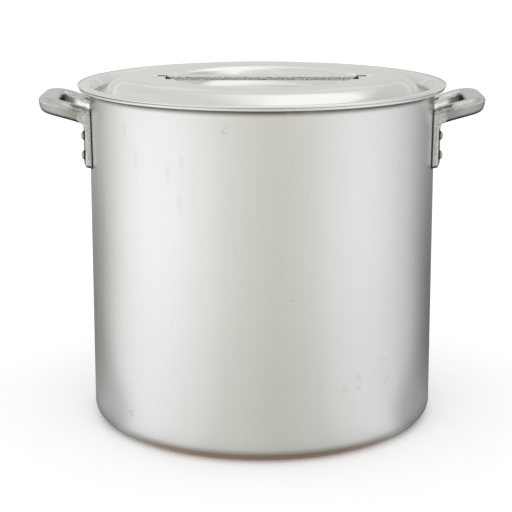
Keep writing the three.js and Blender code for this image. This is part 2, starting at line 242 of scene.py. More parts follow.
# One mark on a surface laid out flat in millimetres: a leaning ellipse, bent if it is a curved scratch.
surface_mark, mark_in, mark_out = new_group(
    "surface_mark",
    {
        "Across": "NodeSocketFloat",
        "Up": "NodeSocketFloat",
        "Middle": "NodeSocketVector",
        "Half Size": "NodeSocketVector",
        "Lean": "NodeSocketFloat",
        "Bend": "NodeSocketFloat",
    },
    {"Mask": "NodeSocketFloat"},
)
spot = place(surface_mark, "ShaderNodeCombineXYZ", {"X": mark_in["Across"], "Y": mark_in["Up"]})
off = place(
    surface_mark,
    "ShaderNodeVectorMath",
    {0: spot.outputs[0], 1: mark_in["Middle"]},
    operation="SUBTRACT",
)
leant = place(
    surface_mark,
    "ShaderNodeVectorRotate",
    {"Vector": off.outputs[0], "Angle": mark_in["Lean"]},
    rotation_type="Z_AXIS",
)
along = place(surface_mark, "ShaderNodeSeparateXYZ", {"Vector": leant.outputs[0]}).outputs
squared = reckon(surface_mark, "MULTIPLY", along["Y"], along["Y"])
sag = reckon(surface_mark, "MULTIPLY", squared, mark_in["Bend"])
bent = place(
    surface_mark,
    "ShaderNodeCombineXYZ",
    {"X": reckon(surface_mark, "SUBTRACT", along["X"], sag), "Y": along["Y"]},
)
unit = place(
    surface_mark,
    "ShaderNodeVectorMath",
    {0: bent.outputs[0], 1: mark_in["Half Size"]},
    operation="DIVIDE",
)
from_middle = place(surface_mark, "ShaderNodeVectorMath", {0: unit.outputs[0]}, operation="LENGTH")
inside = between(surface_mark, from_middle.outputs["Value"], MARK_CORE, 1.0, 1.0, 0.0)
surface_mark.links.new(inside, mark_out["Mask"])


pot_mesh = bmesh.new()
bent_line(
    pot_mesh,
    [
        (0, POT_SHEET, 0),
        (POT_BORE, POT_SHEET, POT_BASE_CORNER - POT_SHEET),
        (POT_BORE, POT_HEIGHT, POT_FLANGE_BEND + POT_SHEET),
        (POT_FLANGE_RADIUS, POT_HEIGHT - POT_FLANGE_DROOP, SHEET_EDGE),
        (POT_FLANGE_RADIUS, POT_HEIGHT - POT_FLANGE_DROOP - POT_SHEET, SHEET_EDGE),
        (WALL_RADIUS, POT_HEIGHT - POT_SHEET, POT_FLANGE_BEND),
        (WALL_RADIUS, 0, POT_BASE_CORNER),
        (0, 0, 0),
    ],
)
turn_about_axis(pot_mesh, TURN_STEPS)

# The outer faces of the wall and base, which take the painted reflection and painted shade low on the
# base.
pot_mesh.normal_update()
outer_face = pot_mesh.verts.layers.float.new("outer_face")
for vert in pot_mesh.verts:
    outward = vert.normal.x * vert.co.x + vert.normal.y * vert.co.y
    vert[outer_face] = 1 if outward > 0.5 * POT_BORE or vert.normal.z < -0.5 else 0

# The turned-out flange isn't quite true: it dips a little in a few places round the mouth.
for vert in pot_mesh.verts:
    reach = hypot(vert.co.x, vert.co.y)
    if reach > FLANGE_WAVE_START:
        out = (reach - FLANGE_WAVE_START) / (POT_FLANGE_RADIUS - FLANGE_WAVE_START)
        for bearing, spread, dip in FLANGE_WAVES:
            apart = abs((degrees(atan2(vert.co.x, -vert.co.y)) - bearing + 180) % 360 - 180)
            vert.co.z -= dip * out * max(0, cos(pi / 2 * min(1, apart / spread))) ** 2

# Marks of use on the front of the wall, as bearing from the front in degrees and height in millimetres.
FINGER_SMUDGES = ((-48, 325), (-43, 299), (-30, 289), (-25, 300), (-26, 260))
STAINS = (
    (-11, 334, 6),
    (-8, 215, 2),
    (25, 192, 2),
    (9, 167, 2),
    (64, 117, 4),
    (-61, 61, 5),
    (-47, 33, 6),
)
SCRATCHES = ((31, 268, 15, 58, 0), (29, 230, 7, 20, 0), (-41, 168, 10, -40, 0.02), (-47, 72, 16, -32, 0))
RUBBED_PATCHES = ((30, 72, 21, 24), (42, 80, 14, 22))
DENT = (28, 93, 6, 5)
SMUDGE_SIZE = (4, 11)
SCRATCH_HALF_WIDTH = 0.5
SMUDGE_SHADE = 0.05
RUBBED_SHADE = 0.06
RUBBED_SCALE = 45.0
RUBBED_BREAKS = (0.44, 0.58)
RUBBED_EDGE = (0.1, 0.6)
STAIN_SHADE = 0.18
STAIN_SCALE = 300.0
STAIN_BREAKS = (0.42, 0.6)
SCRATCH_SHINE = 0.12
MARK_DEPTH = 1.5
FLANGE_SHADE_START = 346
FLANGE_SHADE_FULL = 352
FLANGE_SHADE_END = 354.2
FLANGE_SHADE_HANDLE_GAP = (60, 90)
FLANGE_SHADE_SCALE = 25.0
FLANGE_SHADE_BREAKS = (0.2, 0.5)
FLANGE_SHADE_THIN = 0.6
PAINTED_SHADE_COLOR = (0.20, 0.17, 0.145)
BASE_REFLECTION_TOP = 11
BASE_REFLECTION_FADE = 3
BASE_REFLECTION_FRONT = 100
BASE_REFLECTION_SIDE = 190
BASE_SHADE_TOP = 9
BASE_SHADE_FADE = 5
BASE_SHADE_STRENGTH = 0.8
BASE_REFLECTION_STRENGTH = 0.85
TABLE_REFLECTION_COLOR = (0.58, 0.40, 0.31)
WALL_COLOR = (0.83, 0.83, 0.818)
WALL_ROUGHNESS = 0.33
WALL_STREAKS = (1, 1, 0.02)
WALL_GRAIN = 0.07
WALL_CLOUD = 0.05
WALL_RELIEF = 0.00002


def wall_mark(tree, across, up, bearing, height, half_width, half_height, lean=0, bend=0):
    """The mask of one mark on the pot's wall."""
    sockets = {
        "Across": across,
        "Up": up,
        "Middle": (radians(bearing) * WALL_RADIUS, height, 0),
        "Half Size": (half_width, half_height, 1),
        "Lean": radians(lean),
        "Bend": bend,
    }
    return place(tree, "ShaderNodeGroup", sockets, node_tree=surface_mark).outputs["Mask"]


def any_of(tree, masks):
    """Where any of the masks is."""
    joined = masks[0]
    for mask in masks[1:]:
        joined = reckon(tree, "MAXIMUM", joined, mask)
    return joined


drawn_aluminium, tree = new_material("drawn_aluminium")
where = object_place(tree)
skin = rolled_skin(tree, stretched(tree, where, WALL_STREAKS), where, WALL_GRAIN, WALL_CLOUD)
in_mm = stretched(tree, where, (1000, -1000, 1000))
round_wall = place(tree, "ShaderNodeSeparateXYZ", {"Vector": in_mm}).outputs
bearing = reckon(tree, "ARCTAN2", round_wall["X"], round_wall["Y"])
across = reckon(tree, "MULTIPLY", bearing, float(WALL_RADIUS))
up = round_wall["Z"]
smudges = any_of(tree, [wall_mark(tree, across, up, *smudge, *SMUDGE_SIZE) for smudge in FINGER_SMUDGES])
stains = any_of(
    tree,
    [wall_mark(tree, across, up, *middle, size, size) for *middle, size in STAINS],
)
scratches = any_of(
    tree,
    [
        wall_mark(tree, across, up, *middle, SCRATCH_HALF_WIDTH, half_length, lean, bend)
        for *middle, half_length, lean, bend in SCRATCHES
    ],
)
wear_and_highlight = any_of(tree, [wall_mark(tree, across, up, *patch) for patch in RUBBED_PATCHES])
breaks = between(tree, noise(tree, where, RUBBED_SCALE, 4.0), *RUBBED_BREAKS)
wear_and_highlight = reckon(tree, "MULTIPLY", wear_and_highlight, breaks)
wear_and_highlight = between(tree, wear_and_highlight, *RUBBED_EDGE)
dent = wall_mark(tree, across, up, *DENT)
dirt = reckon(tree, "MULTIPLY", stains, between(tree, noise(tree, where, STAIN_SCALE, 3.0), *STAIN_BREAKS))
worn = reckon(tree, "MULTIPLY", smudges, SMUDGE_SHADE)
worn = reckon(tree, "ADD", worn, reckon(tree, "MULTIPLY", wear_and_highlight, RUBBED_SHADE))
worn = reckon(tree, "ADD", worn, reckon(tree, "MULTIPLY", dirt, STAIN_SHADE))
shade = reckon(tree, "SUBTRACT", skin["Shade"], worn)
shade = reckon(tree, "ADD", shade, reckon(tree, "MULTIPLY", scratches, SCRATCH_SHINE))
roughness = reckon(tree, "MULTIPLY", skin["Roughness"], GRAIN_TO_ROUGHNESS)
roughness = reckon(tree, "ADD", roughness, WALL_ROUGHNESS)
roughness = reckon(tree, "ADD", roughness, worn)
marks = reckon(tree, "ADD", scratches, dent)
height = reckon(tree, "SUBTRACT", skin["Height"], reckon(tree, "MULTIPLY", marks, MARK_DEPTH))
# Painted shade: a patchy dark band on the wall just under the flange, faded out near the handles.
under_flange = between(tree, up, FLANGE_SHADE_START, FLANGE_SHADE_FULL)
flange_shade = reckon(tree, "MULTIPLY", under_flange, reckon(tree, "LESS_THAN", up, FLANGE_SHADE_END))
away_from_handles = reckon(tree, "ABSOLUTE", round_wall["Y"])
flange_shade = reckon(tree, "MULTIPLY", flange_shade, between(tree, away_from_handles, *FLANGE_SHADE_HANDLE_GAP))
patchy = between(tree, noise(tree, where, FLANGE_SHADE_SCALE, 3.0), *FLANGE_SHADE_BREAKS, FLANGE_SHADE_THIN, 1.0)
flange_shade = reckon(tree, "MULTIPLY", flange_shade, patchy)
clean = shaded(tree, WALL_COLOR, shade)
# Painted reflection of a brown table in a band round the front of the base corner.
base_reflection = between(tree, up, BASE_REFLECTION_TOP - BASE_REFLECTION_FADE, BASE_REFLECTION_TOP, BASE_REFLECTION_STRENGTH, 0.0)
on_outer_face = place(tree, "ShaderNodeAttribute", attribute_name="outer_face").outputs["Fac"]
base_reflection = reckon(tree, "MULTIPLY", base_reflection, on_outer_face)
in_front = between(tree, reckon(tree, "ABSOLUTE", across), BASE_REFLECTION_FRONT, BASE_REFLECTION_SIDE, 1.0, 0.0)
base_reflection = reckon(tree, "MULTIPLY", base_reflection, in_front)
# Painted shade: a dark line along the bottom of the wall at the sides.
base_shade = between(tree, up, BASE_SHADE_TOP - BASE_SHADE_FADE, BASE_SHADE_TOP, BASE_SHADE_STRENGTH, 0.0)
base_shade = reckon(tree, "MULTIPLY", base_shade, reckon(tree, "SUBTRACT", on_outer_face, in_front))
stains_and_painted_light = mixed(tree, base_reflection, mixed(tree, flange_shade, clean, PAINTED_SHADE_COLOR), TABLE_REFLECTION_COLOR)
stains_and_painted_light = mixed(tree, reckon(tree, "MAXIMUM", base_shade, 0.0), stains_and_painted_light, PAINTED_SHADE_COLOR)
metal(tree, stains_and_painted_light, roughness, height, WALL_RELIEF)

pot_body = make_object("drawn_pot_body", pot_mesh, drawn_aluminium)
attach(pot_body, "pot")
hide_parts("pot_body")


# Loop handles
# Each is one aluminium casting: a loop with a flat underside and a rounded crown, and two feet
# shaped to the wall. The mould's parting line runs round the widest part of the bar.
HANDLE_REACH = 52
HANDLE_PARTING_HEIGHT = 329
HANDLE_RISE = 13.3
CLIMB_POWER = 1.6
BAR_HALF_WIDTH = 9.4
BAR_CROWN = 6
BAR_DEPTH = 11.8
BAR_DRAFT = 1
BAR_SEGMENTS = 40
BAR_SQUARENESS = 3.2
CROWN_SQUARENESS = 2.3
PARTING_RIDGE = 0.3
PARTING_WIDTH = 1.2
LOOP_ROOT_OFFSET = 35
LOOP_CORNER_OFFSET = 47
LOOP_CORNER_BEND = 28
LOOP_CORNER_STEPS = 14
FOOT_BOTTOM = 272.5
FOOT_THICKNESS = 6.5
FOOT_TOP_WIDTH = 18
FOOT_BOTTOM_WIDTH = 28
FOOT_CORNER = 5
FOOT_SLANT = 1.2
FOOT_EDGE = 1.8
FOOT_FILLET = 7
FOOT_CORNER_STEPS = 6
FOOT_EDGE_STEPS = 4
FOOT_ANGLE = atan2(LOOP_ROOT_OFFSET, (WALL_RADIUS**2 - LOOP_ROOT_OFFSET**2) ** 0.5)
FOOT_FACE = WALL_RADIUS + FOOT_THICKNESS
SEAT_GAP = 0.3
CAST_GAP = 0.7
CAST_VOXEL = 0.0005
CAST_SMOOTHING = 8
CAST_GRIT = 0.00006
CAST_GRIT_SIZE = 0.0022
SEAM_WIDTH = 0.0018
LOOP_SHADE = 0.85
UNDER_SHADE = 0.8
ARM_SHADE = 0.5
CROWN_SHADE = 0.15
LIP_SHADE = 0.8
HIGHLIGHT_END = 198
HIGHLIGHT_FADE = 9
CAST_COLOR = (0.77, 0.77, 0.755)
HIGHLIGHT_COLOR = (0.97, 0.97, 0.95)
OXIDE_AND_SHADE_COLOR = (0.04, 0.037, 0.033)
PARTING_DARK = 0.45
MOTTLE_DARK = 0.35
MOTTLE_HIGHLIGHTED = 0.1
PIT_DARK = 0.6
PAINTED_SHADE_DARK = 0.95
CAST_ROUGHNESS = 0.13
MOTTLE_SCALE = 600.0
MOTTLE_EDGE = 0.16
CAST_COVER = 0.45
PIT_SCALE = 330.0
PIT_SIZE = (0.1, 0.25)
PIT_AREA_SCALE = 60.0
PIT_AREAS = (0.55, 0.65)
PIT_DEPTH = 0.5
UNEVEN_SCALE = 160.0
CAST_UNEVEN = 0.14
CAST_RELIEF = 0.00012
LOOP_START = (FOOT_FACE - 3, FOOT_FACE + 4)
SIDE_FACING = (0.3, 0.9)
TIP_FACING = (0.3, 0.8)
TOP_FACING = (0.5, 0.9)
HOLLOW_FACING = (-0.1, 0.5)
DOWN_FACING = (0, 0.7)
INNER_BELOW = (-1, 0.5)
HOLLOW_BELOW = (-2, 0)
UNDER_BELOW = (4, BAR_DEPTH + 1)


def loop_rise(distance):
    """How far the loop has climbed above its root at a distance from the pot's axis."""
    left = 1 - (distance - WALL_RADIUS) / HANDLE_REACH
    return HANDLE_RISE * (1 - max(0, left) ** CLIMB_POWER)


def loop_route():
    """The middle line of the loop from wall to wall, in plan."""
    grip = WALL_RADIUS + HANDLE_REACH - BAR_HALF_WIDTH - PARTING_RIDGE
    root = Vector((WALL_RADIUS, LOOP_ROOT_OFFSET, 0))
    corner = Vector((grip, LOOP_CORNER_OFFSET, 0))
    arm = (corner - root).normalized()
    start = root - arm * BAR_HALF_WIDTH
    arm_end = corner - arm * LOOP_CORNER_BEND
    grip_end = corner - Vector((0, LOOP_CORNER_BEND, 0))
    pull = 2 / 3
    curve = interpolate_bezier(
        arm_end,
        arm_end.lerp(corner, pull),
        grip_end.lerp(corner, pull),
        grip_end,
        LOOP_CORNER_STEPS,
    )
    half = [start, start.lerp(arm_end, 0.5)] + curve
    return half + [Vector((point.x, -point.y, 0)) for point in reversed(half)]


def loop_bar(bm):
    """Sweeps the bar's section along the loop and lifts it outward."""
    route = loop_route()
    ring = bmesh.ops.create_circle(bm, cap_ends=True, radius=1, segments=BAR_SEGMENTS)["verts"]
    for vert in ring:
        across, up = vert.co.x, vert.co.y
        fullness = 2 / (CROWN_SQUARENESS if up >= 0 else BAR_SQUARENESS)
        rise = abs(up) ** fullness
        side = copysign(abs(across) ** fullness, across)
        if up >= 0:
            vert.co = (BAR_HALF_WIDTH * side, 0, BAR_CROWN * rise)
        else:
            vert.co = ((BAR_HALF_WIDTH - BAR_DRAFT * rise) * side, 0, -BAR_DEPTH * rise)
    heading = route[1] - route[0]
    spin = Matrix.Rotation(atan2(heading.y, heading.x) - pi / 2, 3, "Z")
    bmesh.ops.rotate(bm, cent=(0, 0, 0), matrix=spin, verts=ring)
    bmesh.ops.translate(bm, vec=route[0], verts=ring)
    cap = bm.faces[:]
    for here, there, after in zip(route, route[1:], route[2:] + [None]):
        grown = bmesh.ops.extrude_face_region(bm, geom=cap, use_keep_orig=here is route[0])["geom"]
        cap = [item for item in grown if isinstance(item, bmesh.types.BMFace)]
        verts = [item for item in grown if isinstance(item, bmesh.types.BMVert)]
        bmesh.ops.translate(bm, vec=there - here, verts=verts)
        if after:
            step = (there - here).normalized() + (after - there).normalized()
            turn = atan2(step.y, step.x) - atan2(heading.y, heading.x)
            bmesh.ops.rotate(bm, cent=there, matrix=Matrix.Rotation(turn, 3, "Z"), verts=verts)
            heading = step
    for vert in bm.verts:
        vert.co.z += HANDLE_PARTING_HEIGHT + loop_rise(vert.co.x)


def handle_foot(bm, side):
    """One foot: its side view, pushed out to its width, tapered upward and turned to the wall."""
    inside = WALL_RADIUS - FOOT_THICKNESS
    fillet_end = FOOT_FACE + FOOT_FILLET
    arm_bottom = HANDLE_PARTING_HEIGHT - BAR_DEPTH
    half = FOOT_BOTTOM_WIDTH / 2
    outline = [
        (inside, FOOT_BOTTOM - FOOT_SLANT, 0),
        (FOOT_FACE, FOOT_BOTTOM + FOOT_SLANT, 0),
        (FOOT_FACE, arm_bottom + loop_rise(FOOT_FACE), FOOT_FILLET),
        (fillet_end, arm_bottom + loop_rise(fillet_end), 0),
        (fillet_end, HANDLE_PARTING_HEIGHT, 0),
        (inside, HANDLE_PARTING_HEIGHT, 0),
    ]
    foot = bmesh.new()
    points = [foot.verts.new((out, -half, height)) for out, height, _ in outline]
    foot.faces.new(points)
    for point, (_, _, bend) in zip(points, outline):
        if bend:
            rounded(foot, [point], "VERTICES", bend, FOOT_CORNER_STEPS)
    grown = bmesh.ops.extrude_face_region(foot, geom=foot.faces[:])["geom"]
    moved = [item for item in grown if isinstance(item, bmesh.types.BMVert)]
    bmesh.ops.translate(foot, vec=(0, FOOT_BOTTOM_WIDTH, 0), verts=moved)
    low_edges = [
        edge
        for edge in foot.edges
        if abs(edge.verts[0].co.y - edge.verts[1].co.y) < NEAR
        and max(vert.co.z for vert in edge.verts) < FOOT_BOTTOM + 2 * FOOT_SLANT
    ]
    rounded(foot, low_edges, "EDGES", FOOT_CORNER, FOOT_CORNER_STEPS)
    face_edges = [
        edge
        for edge in foot.edges
        if all(abs(vert.co.x - FOOT_FACE) < NEAR for vert in edge.verts)
        and min(vert.co.z for vert in edge.verts) < arm_bottom - FOOT_FILLET
    ]
    rounded(foot, face_edges, "EDGES", FOOT_EDGE, FOOT_EDGE_STEPS)
    taper = (FOOT_BOTTOM_WIDTH - FOOT_TOP_WIDTH) / (HANDLE_PARTING_HEIGHT - FOOT_BOTTOM - FOOT_CORNER)
    for vert in foot.verts:
        above = max(0, vert.co.z - FOOT_BOTTOM - FOOT_CORNER)
        vert.co.y *= 1 - above * taper / FOOT_BOTTOM_WIDTH
    bmesh.ops.recalc_face_normals(foot, faces=foot.faces[:])
    to_wall = Matrix.Rotation(side * FOOT_ANGLE, 3, "Z")
    bmesh.ops.rotate(foot, cent=(0, 0, 0), matrix=to_wall, verts=foot.verts[:])
    loose = bpy.data.meshes.new("foot")
    foot.to_mesh(loose)
    foot.free()
    bm.from_mesh(loose)
    bpy.data.meshes.remove(loose)


def modified_mesh(made):
    """The object's mesh with its modifiers worked in, which then come off the object."""
    state = bpy.context.evaluated_depsgraph_get()
    worked = bpy.data.meshes.new_from_object(made.evaluated_get(state))
    made.modifiers.clear()
    bm = bmesh.new()
    bm.from_mesh(worked)
    bpy.data.meshes.remove(worked)
    return bm


def eased(value, low, high):
    """Goes softly from 0 at low to 1 at high."""
    share = min(1, max(0, (value - low) / (high - low)))
    return share * share * (3 - 2 * share)


def shade_highlight_and_ridge(skin, seat):
    """Notes where the casting takes painted shade, a painted highlight or a painted dark line below the
    ridge, and raises its parting ridge.
    """
    painted_shade = skin.verts.layers.float.new("painted_shade")
    wear_and_highlight = skin.verts.layers.float.new("wear_and_highlight")
    parting = skin.verts.layers.float.new("parting")
    for vert in skin.verts:
        reach = abs(vert.co.x) * 1000
        off = vert.co.z * 1000 - HANDLE_PARTING_HEIGHT - loop_rise(reach)
        outward = vert.normal.x * copysign(1, vert.co.x)
        sideways = vert.normal.y * copysign(1, vert.co.y)
        on_loop = eased(reach, *LOOP_START)
        at_tip = eased(outward, *TIP_FACING)
        proud = on_loop * (1 - eased(abs(off), 0, PARTING_WIDTH))

        # Painted highlight on the inside of the arms near the wall and on the ridge at the tip, which also
        # thins the mottle there.
        inner = eased(-sideways, *SIDE_FACING) * eased(-off, *INNER_BELOW)
        past_highlight = eased(reach, HIGHLIGHT_END, HIGHLIGHT_END + HIGHLIGHT_FADE)
        vert[wear_and_highlight] = max(inner * (1 - past_highlight), proud * at_tip)

        # Painted shade in the hollow of the loop, low on the arms and on their sides, on the crown, on
        # faces that look down, along the bottom edge of the feet, and along the wall.
        hollow = max(eased(-outward, *HOLLOW_FACING) * eased(-off, *HOLLOW_BELOW), inner * past_highlight)
        under = UNDER_SHADE * eased(-off, *UNDER_BELOW)
        below_ridge = 0.5 + 0.5 * eased(-off, 0, PARTING_WIDTH)
        beside = ARM_SHADE * eased(sideways, *SIDE_FACING) * below_ridge
        on_top = CROWN_SHADE * eased(vert.normal.z, *TOP_FACING)
        seam = 1 - eased(hypot(vert.co.x, vert.co.y) - seat, 0, SEAM_WIDTH)
        lip = 1 - eased(vert.co.z * 1000 - FOOT_BOTTOM, FOOT_EDGE, 2 * FOOT_EDGE)
        vert[painted_shade] = max(
            seam,
            LIP_SHADE * lip,
            eased(-vert.normal.z, *DOWN_FACING),
            on_loop * LOOP_SHADE * hollow,
            on_loop * max(under, beside, on_top) * (1 - vert[wear_and_highlight]),
        )
        # A painted dark line just below the parting ridge, on the arms.
        line = 1 - eased(abs(off + PARTING_WIDTH), 0.2, PARTING_WIDTH)
        vert[parting] = on_loop * line * (1 - at_tip)
        vert.co += vert.normal * proud * PARTING_RIDGE * 0.001


def one_casting(made):
    """Runs the loop and feet together into one skin with the soft corners of a casting."""
    remesh = made.modifiers.new("cast", "REMESH")
    remesh.mode = "VOXEL"
    remesh.voxel_size = CAST_VOXEL
    skin = modified_mesh(made)
    for _ in range(CAST_SMOOTHING):
        bmesh.ops.smooth_vert(
            skin,
            verts=skin.verts[:],
            factor=0.5,
            use_axis_x=True,
            use_axis_y=True,
            use_axis_z=True,
        )
    seat = (WALL_RADIUS + CAST_GAP) * 0.001
    for vert in skin.verts:
        out = hypot(vert.co.x, vert.co.y)
        if out < seat:
            vert.co.x *= seat / out
            vert.co.y *= seat / out
        elif out > seat + CAST_GRIT:
            vert.co += vert.normal * CAST_GRIT * sand(vert.co / CAST_GRIT_SIZE)
    skin.normal_update()
    shade_highlight_and_ridge(skin, seat)
    skin.to_mesh(made.data)
    skin.free()
    made.data.shade_smooth()


# Dark oxide in mottled patches, on cast, sheared and hammered metal.
mottle, mottle_in, mottle_out = new_group(
    "mottle",
    {"Place": "NodeSocketVector", "Scale": "NodeSocketFloat", "Cover": "NodeSocketFloat"},
    {"Mask": "NodeSocketFloat", "Height": "NodeSocketFloat"},
)
lumps = noise(mottle, mottle_in["Place"], mottle_in["Scale"], 5.0, 0.65)
edge = reckon(mottle, "ADD", mottle_in["Cover"], MOTTLE_EDGE)
mottle.links.new(between(mottle, lumps, mottle_in["Cover"], edge, 1.0, 0.0), mottle_out["Mask"])
mottle.links.new(lumps, mottle_out["Height"])


def blotches(tree, where, scale, cover):
    """The mask and height of the mottle on one surface."""
    sockets = {"Place": where, "Scale": scale, "Cover": cover}
    return place(tree, "ShaderNodeGroup", sockets, node_tree=mottle).outputs


cast_aluminium, tree = new_material("cast_aluminium")
where = object_place(tree)
blotch = blotches(tree, where, MOTTLE_SCALE, CAST_COVER)
cells = place(tree, "ShaderNodeTexVoronoi", {"Vector": where, "Scale": PIT_SCALE, "Randomness": 1.0})
pits = between(tree, cells.outputs["Distance"], *PIT_SIZE, 1.0, 0.0)
pit_areas = between(tree, noise(tree, where, PIT_AREA_SCALE, 3.0), *PIT_AREAS)
pitted = reckon(tree, "MULTIPLY", pits, pit_areas)
# Painted highlight from the casting's attribute, with less mottle under it.
highlighted = place(tree, "ShaderNodeAttribute", attribute_name="wear_and_highlight").outputs["Fac"]
mottle_strength = between(tree, highlighted, 0.0, 1.0, MOTTLE_DARK, MOTTLE_HIGHLIGHTED)
mottled = reckon(tree, "MULTIPLY", blotch["Mask"], mottle_strength)
dark = reckon(tree, "MAXIMUM", mottled, reckon(tree, "MULTIPLY", pitted, PIT_DARK))
# Painted shade from the casting's attribute: the hollow, the undersides, the sides and crown of the arms,
# the feet's bottom edge and the seam at the wall.
in_painted_shade = place(tree, "ShaderNodeAttribute", attribute_name="painted_shade").outputs["Fac"]
dark = reckon(tree, "MAXIMUM", dark, reckon(tree, "MULTIPLY", in_painted_shade, PAINTED_SHADE_DARK))
# Painted dark line below the parting ridge.
lined = place(tree, "ShaderNodeAttribute", attribute_name="parting").outputs["Fac"]
dark = reckon(tree, "MAXIMUM", dark, reckon(tree, "MULTIPLY", lined, PARTING_DARK))
uneven = reckon(tree, "MULTIPLY", noise(tree, where, UNEVEN_SCALE, 3.0), CAST_UNEVEN)
gloss = reckon(tree, "ADD", uneven, CAST_ROUGHNESS)
rough_cast = reckon(tree, "SUBTRACT", blotch["Height"], reckon(tree, "MULTIPLY", pitted, PIT_DEPTH))
bare = mixed(tree, highlighted, CAST_COLOR, HIGHLIGHT_COLOR)
metal(tree, mixed(tree, dark, bare, OXIDE_AND_SHADE_COLOR), gloss, rough_cast, CAST_RELIEF)

for side, turn in (("right", 0), ("left", pi)):
    casting = bmesh.new()
    loop_bar(casting)
    handle_foot(casting, 1)
    handle_foot(casting, -1)
    spin = Matrix.Rotation(turn, 3, "Z")
    bmesh.ops.rotate(casting, cent=(0, 0, 0), matrix=spin, verts=casting.verts[:])
    loop_handle = make_object(f"cast_{side}_handle", casting, cast_aluminium)
    one_casting(loop_handle)
    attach(loop_handle, "pot")
    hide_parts(f"{side}_handle")


# Rivets
# Solid aluminium rivets, two to a foot, driven from outside. Each has a blunt head on the
# casting, a shank through foot and wall, and a flatter head formed inside the pot.
RIVET_HEIGHTS = {"upper": 306.3, "lower": 285.6}
RIVET_SHANK = 2
RIVET_HEAD = 5
RIVET_CROWN = 2.6
RIVET_RIM_HEIGHT = 0.9
RIVET_HEAD_HEIGHT = 3
RIVET_TAIL_HEIGHT = 2
RIVET_STEPS = 32
RIVET_RIM_BEND = 0.8
RIVET_CROWN_BEND = 1.2
RIVET_COLOR = (0.6, 0.6, 0.58)
RIVET_MOTTLE = 0.35
RIVET_MOTTLE_SCALE = 620.0
RIVET_COVER = 0.36
RIVET_ROUGHNESS = 0.18
RIVET_UNEVEN = 0.3
RIVET_RELIEF = 0.0001
RIVET_SHADE_START = 0.8
RIVET_SHADE_END = 2.5
RIVET_SHADE_DARK = 0.97

rivet_aluminium, tree = new_material("rivet_aluminium")
where = object_place(tree)
blotch = blotches(tree, where, RIVET_MOTTLE_SCALE, RIVET_COVER)
oxide_and_shade = reckon(tree, "MULTIPLY", blotch["Mask"], RIVET_MOTTLE)
level = stretched(tree, where, (1000, 1000, 0))
reach = place(tree, "ShaderNodeVectorMath", {0: level}, operation="LENGTH").outputs["Value"]
# Painted shade round the base of each head, where it meets the foot.
ring = between(tree, reach, FOOT_FACE + RIVET_SHADE_START, FOOT_FACE + RIVET_SHADE_END, RIVET_SHADE_DARK, 0.0)
oxide_and_shade = reckon(tree, "MAXIMUM", oxide_and_shade, ring)
uneven = reckon(tree, "MULTIPLY", blotch["Height"], RIVET_UNEVEN)
gloss = reckon(tree, "ADD", uneven, RIVET_ROUGHNESS)
metal(tree, mixed(tree, oxide_and_shade, RIVET_COLOR, OXIDE_AND_SHADE_COLOR), gloss, blotch["Height"], RIVET_RELIEF)

for side, turn in (("right", 0), ("left", pi)):
    for end, way in (("front", -1), ("rear", 1)):
        for level, height in RIVET_HEIGHTS.items():
            rivet = bmesh.new()
            bent_line(
                rivet,
                [
                    (0, POT_BORE - SEAT_GAP - RIVET_TAIL_HEIGHT, 0),
                    (RIVET_HEAD, POT_BORE - SEAT_GAP - RIVET_TAIL_HEIGHT, RIVET_TAIL_HEIGHT - SEAT_GAP),
                    (RIVET_HEAD, POT_BORE - SEAT_GAP, 0),
                    (RIVET_SHANK, POT_BORE - SEAT_GAP, 0),
                    (RIVET_SHANK, FOOT_FACE, 0),
                    (RIVET_HEAD, FOOT_FACE, 0),
                    (RIVET_HEAD, FOOT_FACE + RIVET_RIM_HEIGHT, RIVET_RIM_BEND),
                    (RIVET_CROWN, FOOT_FACE + RIVET_HEAD_HEIGHT, RIVET_CROWN_BEND),
                    (0, FOOT_FACE + RIVET_HEAD_HEIGHT + SEAT_GAP, 0),
                ],
            )
            turn_about_axis(rivet, RIVET_STEPS)
            angle = turn + way * FOOT_ANGLE * (1 if side == "right" else -1)
            lie = Matrix.Rotation(angle, 3, "Z") @ Matrix.Rotation(pi / 2, 3, "Y")
            bmesh.ops.rotate(rivet, cent=(0, 0, 0), matrix=lie, verts=rivet.verts[:])
            bmesh.ops.translate(rivet, vec=(0, 0, height), verts=rivet.verts[:])
            node = f"{side}_handle_rivet_{end}_{level}"
            domed_rivet = make_object(f"domed_{node}", rivet, rivet_aluminium)
            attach(domed_rivet, "pot")
            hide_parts(node)


# Lid
# One pressed sheet of 1.4 mm aluminium: a flange that rests on the pot's flange, a groove that
# locates it in the mouth, a cone up to a slightly domed crown, and a finger dish in the middle.
# A sunk seat at each end of the dish takes the strap, with a slot and a raised button outboard.
LID_SHEET = 1.4
LID_RADIUS = 195
LID_FLANGE_HEIGHT = 358.7
LID_EDGE_LIFT = -0.15
LID_WALL = 177.6
LID_GROOVE_HEIGHT = 338.7
GROOVE_BEND = 3
LID_CONE_SLOPE = radians(50)
CROWN_HEIGHT = 363.7
CROWN_BEND = 24
LID_FLARE_HEIGHT = 350
LID_FLARE = 6
LID_FLARE_BEND = 3
LID_FLANGE_BEND = 2
CREASE_RADIUS = 130
CREASE_HEIGHT = 364.8
CREASE_BEND = 2
DISH_RADIUS = 93.5
DISH_LIP_HEIGHT = 364.5
DISH_LIP_BEND = 7
DISH_DEPTH = 20
DISH_FLOOR_BEND = 14
DISH_SLOPE = radians(63)
STRAP_END = 100.5
SEAT_FLOOR = 360.6
SEAT_END = 100.9
SEAT_STEP = 0.8
SEAT_START = 78
SEAT_HALF_WIDTH = 13
SEAT_FADE = 16
SLOT_START = 101.8
SLOT_END = 110.5
SLOT_HALF_WIDTH = 3.8
BUTTON_MIDDLE = 115
BUTTON_HALF_LENGTH = 4.4
BUTTON_HALF_WIDTH = 9
BUTTON_HEIGHT = 1.1
ZONE_END = 124
ZONE_STEP = 1.5
ZONE_MARGIN = 4
CUT_DISTANCE = 0.002
